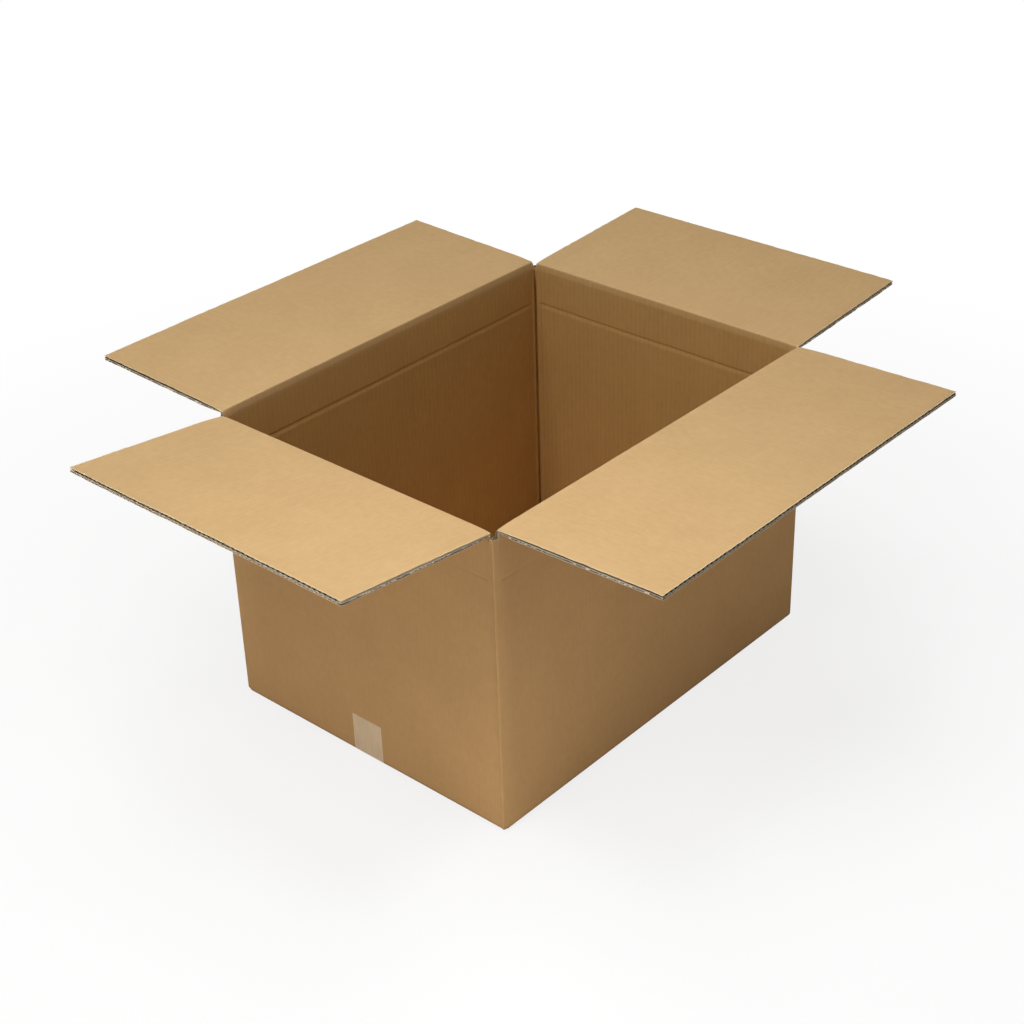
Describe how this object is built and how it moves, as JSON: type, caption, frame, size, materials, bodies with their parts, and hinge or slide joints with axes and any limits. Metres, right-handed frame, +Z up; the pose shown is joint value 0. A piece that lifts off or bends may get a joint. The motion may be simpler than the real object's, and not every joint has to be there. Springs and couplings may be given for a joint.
{
  "type": "open cardboard box",
  "caption": "Open slotted box of double-wall corrugated board: folded body, four hinged top flaps spread outwards, and a taped bottom seam.",
  "frame": {"origin": "middle of the underside of the closed bottom", "axes": "+X along the long walls, +Y along the short walls, +Z up"},
  "size_m": [1.0461, 0.9078, 0.4419],
  "materials": {
    "board": "matt brown kraft liner",
    "tape": "thin translucent packing tape"
  },
  "bodies": {
    "carton": {"carton_body": "board", "bottom_tape": "tape"},
    "front_flap": {"long_flap_front": "board"},
    "back_flap": {"long_flap_back": "board"},
    "left_flap": {"short_flap_left": "board"},
    "right_flap": {"short_flap_right": "board"}
  },
  "joints": [
    {"name": "front_crease", "type": "hinge", "parent": "carton", "child": "front_flap", "pos_m": [0, -0.23145, 0.41415], "axis": [-1, 0, 0], "range_deg": [-91.7, 178.3]},
    {"name": "back_crease", "type": "hinge", "parent": "carton", "child": "back_flap", "pos_m": [0, 0.23145, 0.41415], "axis": [1, 0, 0], "range_deg": [-91.6, 178.4]},
    {"name": "left_crease", "type": "hinge", "parent": "carton", "child": "left_flap", "pos_m": [-0.29955, 0, 0.40925], "axis": [0, 1, 0], "range_deg": [-96.5, 173.5]},
    {"name": "right_crease", "type": "hinge", "parent": "carton", "child": "right_flap", "pos_m": [0.29955, 0, 0.40925], "axis": [0, -1, 0], "range_deg": [-93.1, 176.9]}
  ]
}
